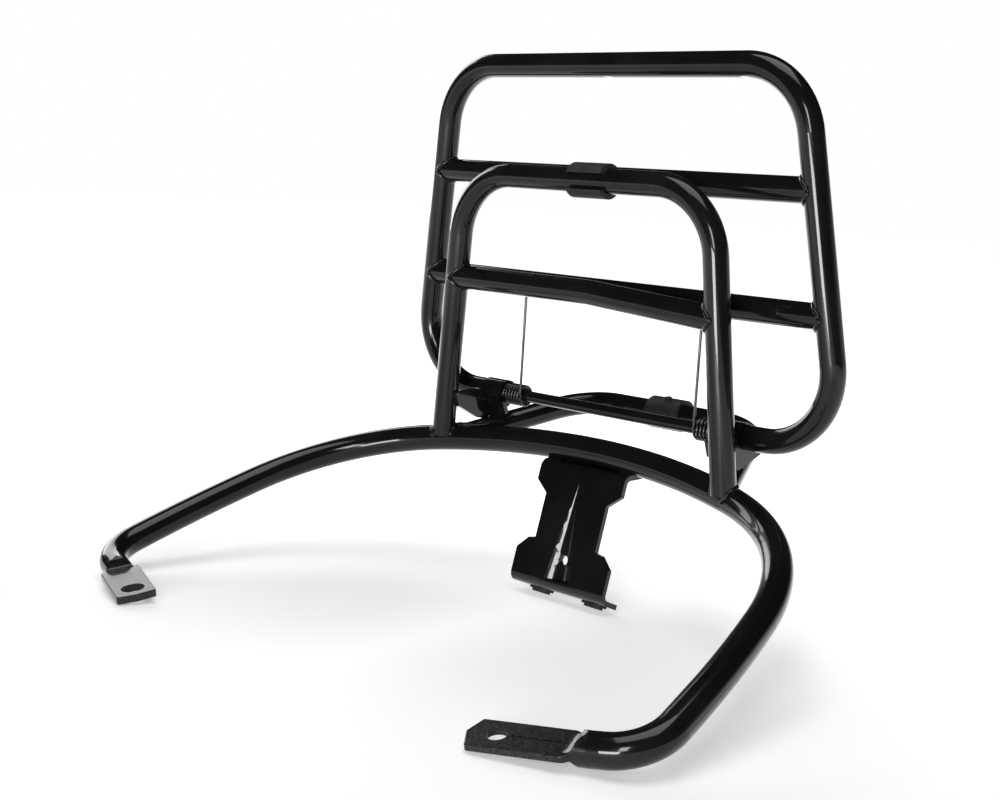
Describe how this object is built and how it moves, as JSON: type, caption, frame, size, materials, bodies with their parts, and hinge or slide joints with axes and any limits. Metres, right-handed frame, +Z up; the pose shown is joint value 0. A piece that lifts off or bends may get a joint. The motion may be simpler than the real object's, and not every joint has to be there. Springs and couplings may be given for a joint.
{
  "type": "scooter luggage rack",
  "caption": "Tubular scooter rack with a horseshoe base, a back hoop and a sprung carrier that folds down to the rear.",
  "frame": {"origin": "middle of the rack's bounds on the ground it stands on", "axes": "+X to the right, +Y to the rear, +Z up, standing on its toes and foot as pictured"},
  "size_m": [0.4142, 0.3122, 0.3133],
  "materials": {
    "black_paint": "gloss",
    "rubber": "matte",
    "bush_plastic": "matte",
    "spring_wire": "gloss"
  },
  "bodies": {
    "frame": {"main_tube": "black_paint", "backrest_hoop": "black_paint", "hoop_crossbar": "black_paint", "stop_loop": "black_paint", "hinge_plate_left": "black_paint", "hinge_plate_right": "black_paint", "hinge_barrel_left": "black_paint", "hinge_barrel_right": "black_paint", "hinge_rod": "black_paint", "support_plate": "black_paint", "foot_pad_left": "rubber", "foot_pad_right": "rubber", "hoop_bumper": "rubber", "stop_bumper": "rubber"},
    "carrier": {"rack_loop": "black_paint", "rack_bar_upper": "black_paint", "rack_bar_lower": "black_paint", "pivot_bush_left": "bush_plastic", "pivot_bush_right": "bush_plastic", "spring_left": "spring_wire", "spring_right": "spring_wire"}
  },
  "joints": [
    {"name": "carrier_fold", "type": "hinge", "parent": "frame", "child": "carrier", "pos_m": [0, 0.0877, 0.10901], "axis": [-1, 0, 0], "range_deg": [0, 88], "stiffness_Nm_per_rad": 0.6, "springref_deg": -34.38, "deforming": ["spring_left", "spring_right"]}
  ]
}
